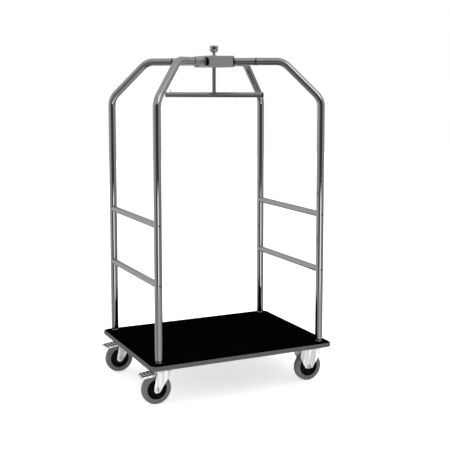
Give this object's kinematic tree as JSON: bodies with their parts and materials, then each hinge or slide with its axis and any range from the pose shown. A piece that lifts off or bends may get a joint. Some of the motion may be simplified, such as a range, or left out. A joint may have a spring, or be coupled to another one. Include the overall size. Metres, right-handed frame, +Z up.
{
  "type": "hotel luggage cart",
  "caption": "Birdcage luggage cart: carpeted deck with a bumper, bent tube posts meeting in a top hub, side rails, a turning garment bar, braked swivel casters and fixed casters.",
  "frame": {"origin": "on the floor, under the middle of the deck", "axes": "+X along the cart towards the fixed casters, +Y across the cart, +Z up"},
  "size_m": [1.103, 0.822, 1.8637],
  "materials": {
    "chrome_tube": "bright chrome plate on bent steel tube",
    "chrome_hub": "bright chrome plate on the hub",
    "chrome_hanger": "bright chrome plate on the hanging T and knob",
    "black_trim": "moulded black plastic",
    "dark_screw": "blackened steel screws",
    "zinc_fastener": "zinc plated steel",
    "plywood": "birch plywood",
    "carpet": "black needle-felt carpet, glued down",
    "grey_bumper": "grey extruded bumper strip",
    "black_steel": "black powder coat on flat steel",
    "zinc_caster": "bright zinc plate on pressed steel",
    "zinc_lever": "bright zinc plate on the brake lever",
    "pedal_plastic": "ribbed dark plastic",
    "grey_tyre": "grey non-marking rubber",
    "black_rim": "moulded black nylon",
    "bearing_plastic": "plain bearing plastic"
  },
  "bodies": {
    "cart": {"bracket_back_right": "zinc_caster", "bracket_front_right": "zinc_caster", "caster_bolts": "zinc_fastener", "corner_plates": "black_steel", "deck_board": "plywood", "deck_carpet": "carpet", "deck_screws": "zinc_fastener", "edge_bumper": "grey_bumper", "fixed_axles": "zinc_fastener", "foot_bolts": "zinc_fastener", "foot_collars": "black_trim", "foot_plugs": "chrome_tube", "frame_bars": "black_steel", "hub_base": "chrome_hub", "hub_seals": "black_trim", "hub_shell": "chrome_hub", "hub_stubs": "chrome_hub", "joint_grub_screws": "dark_screw", "joint_rings": "black_trim", "joint_spigots": "chrome_hub", "kingpins": "zinc_fastener", "lower_bush": "bearing_plastic", "post_back_left": "chrome_tube", "post_back_right": "chrome_tube", "post_front_left": "chrome_tube", "post_front_right": "chrome_tube", "rail_bolts": "dark_screw", "rail_inserts": "zinc_fastener", "side_rail_left_lower": "chrome_tube", "side_rail_left_upper": "chrome_tube", "side_rail_right_lower": "chrome_tube", "side_rail_right_upper": "chrome_tube", "swivel_balls": "zinc_fastener", "swivel_plates": "zinc_caster", "upper_bush": "chrome_hanger"},
    "hanger": {"hanger_rod": "chrome_hanger", "hanger_bar": "chrome_hanger", "bar_end_caps": "black_trim", "hanger_stop_pins": "chrome_hanger", "finial_knob": "chrome_hanger"},
    "swivel_front_left": {"fork_front_left": "zinc_caster", "axle_front_left": "zinc_fastener"},
    "pedal_front_left": {"brake_lever_front_left": "zinc_lever", "pedal_pad_front_left": "pedal_plastic"},
    "wheel_front_left": {"tyre_front_left": "grey_tyre", "rim_front_left": "black_rim", "wheel_bush_front_left": "bearing_plastic"},
    "wheel_front_right": {"tyre_front_right": "grey_tyre", "rim_front_right": "black_rim", "wheel_bush_front_right": "bearing_plastic"},
    "swivel_back_left": {"fork_back_left": "zinc_caster", "axle_back_left": "zinc_fastener"},
    "pedal_back_left": {"brake_lever_back_left": "zinc_lever", "pedal_pad_back_left": "pedal_plastic"},
    "wheel_back_left": {"tyre_back_left": "grey_tyre", "rim_back_left": "black_rim", "wheel_bush_back_left": "bearing_plastic"},
    "wheel_back_right": {"tyre_back_right": "grey_tyre", "rim_back_right": "black_rim", "wheel_bush_back_right": "bearing_plastic"}
  },
  "joints": [
    {"name": "hanger_turn", "type": "hinge", "parent": "cart", "child": "hanger", "pos_m": [0, 0, 1.592], "axis": [0, 0, 1], "continuous": true},
    {"name": "swivel_front_left", "type": "hinge", "parent": "cart", "child": "swivel_front_left", "pos_m": [-0.432, -0.3, 0.1775], "axis": [0, 0, 1], "continuous": true},
    {"name": "pedal_front_left", "type": "hinge", "parent": "swivel_front_left", "child": "pedal_front_left", "pos_m": [-0.458, -0.3, 0.166], "axis": [0, -1, 0], "range_deg": [0, 8]},
    {"name": "wheel_front_left", "type": "hinge", "parent": "swivel_front_left", "child": "wheel_front_left", "pos_m": [-0.472, -0.3, 0.08], "axis": [0, 1, 0], "continuous": true},
    {"name": "wheel_front_right", "type": "hinge", "parent": "cart", "child": "wheel_front_right", "pos_m": [0.434, -0.3, 0.08], "axis": [0, 1, 0], "continuous": true},
    {"name": "swivel_back_left", "type": "hinge", "parent": "cart", "child": "swivel_back_left", "pos_m": [-0.432, 0.3, 0.1775], "axis": [0, 0, 1], "continuous": true},
    {"name": "pedal_back_left", "type": "hinge", "parent": "swivel_back_left", "child": "pedal_back_left", "pos_m": [-0.458, 0.3, 0.166], "axis": [0, -1, 0], "range_deg": [0, 8]},
    {"name": "wheel_back_left", "type": "hinge", "parent": "swivel_back_left", "child": "wheel_back_left", "pos_m": [-0.472, 0.3, 0.08], "axis": [0, 1, 0], "continuous": true},
    {"name": "wheel_back_right", "type": "hinge", "parent": "cart", "child": "wheel_back_right", "pos_m": [0.434, 0.3, 0.08], "axis": [0, 1, 0], "continuous": true}
  ]
}
